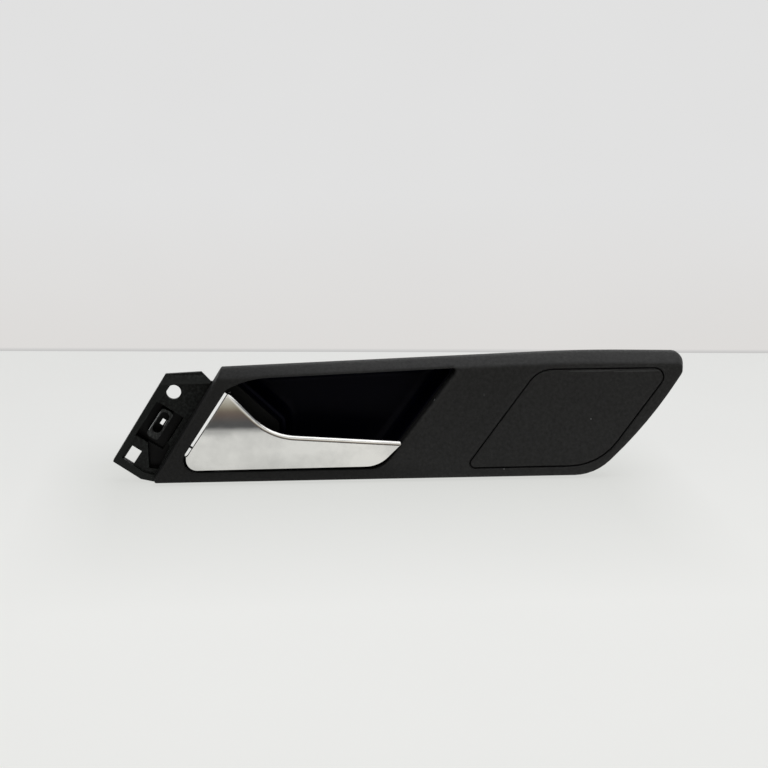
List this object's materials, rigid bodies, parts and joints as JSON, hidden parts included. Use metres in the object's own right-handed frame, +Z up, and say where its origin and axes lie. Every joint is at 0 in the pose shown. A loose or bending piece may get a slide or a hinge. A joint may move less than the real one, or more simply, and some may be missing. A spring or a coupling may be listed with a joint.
{
  "type": "car interior door handle",
  "caption": "Inside door handle: slanted black bezel with a finger bowl, a sprung satin-chrome pull lever, an insert panel and a hinge carrier with a fixing tab.",
  "frame": {"origin": "centre of the locating hole in the carrier's tab, on the front of its plate", "axes": "+X along the handle towards its slanted end, +Y into the door, +Z up"},
  "size_m": [0.3181, 0.0326, 0.0711],
  "materials": {
    "grained_black": "fine moulded grain, satin",
    "insert_black": "fine moulded grain, soft touch",
    "bowl_black": "smooth satin black",
    "carrier_black": "glass-filled moulding, slightly rough",
    "satin_chrome": "satin plated",
    "steel": "turned, zinc plated",
    "spring_steel": "drawn wire",
    "screw_steel": "zinc plated",
    "clip_steel": "folded spring sheet",
    "rubber": "moulded rubber"
  },
  "bodies": {
    "frame": {"bezel": "grained_black", "insert_panel": "insert_black", "finger_bowl": "bowl_black", "carrier": "carrier_black", "hinge_pin": "steel", "pin_clip": "steel", "return_spring": "spring_steel", "rest_pad": "rubber", "open_stop_pad": "rubber", "screw_1": "screw_steel", "screw_2": "screw_steel", "screw_3": "screw_steel", "screw_4": "screw_steel", "screw_5": "screw_steel", "screw_6": "screw_steel", "trim_clip_1": "clip_steel", "trim_clip_2": "clip_steel", "trim_clip_3": "clip_steel", "trim_clip_4": "clip_steel"},
    "pull": {"lever": "satin_chrome"}
  },
  "joints": [
    {"name": "lever_pull", "type": "hinge", "parent": "frame", "child": "pull", "pos_m": [0.0147, -0.0064, -0.03817], "axis": [-0.5519, 0, -0.8339], "range_deg": [0, 35], "stiffness_Nm_per_rad": 0.3, "springref_deg": -28.65, "deforming": ["return_spring"]}
  ]
}
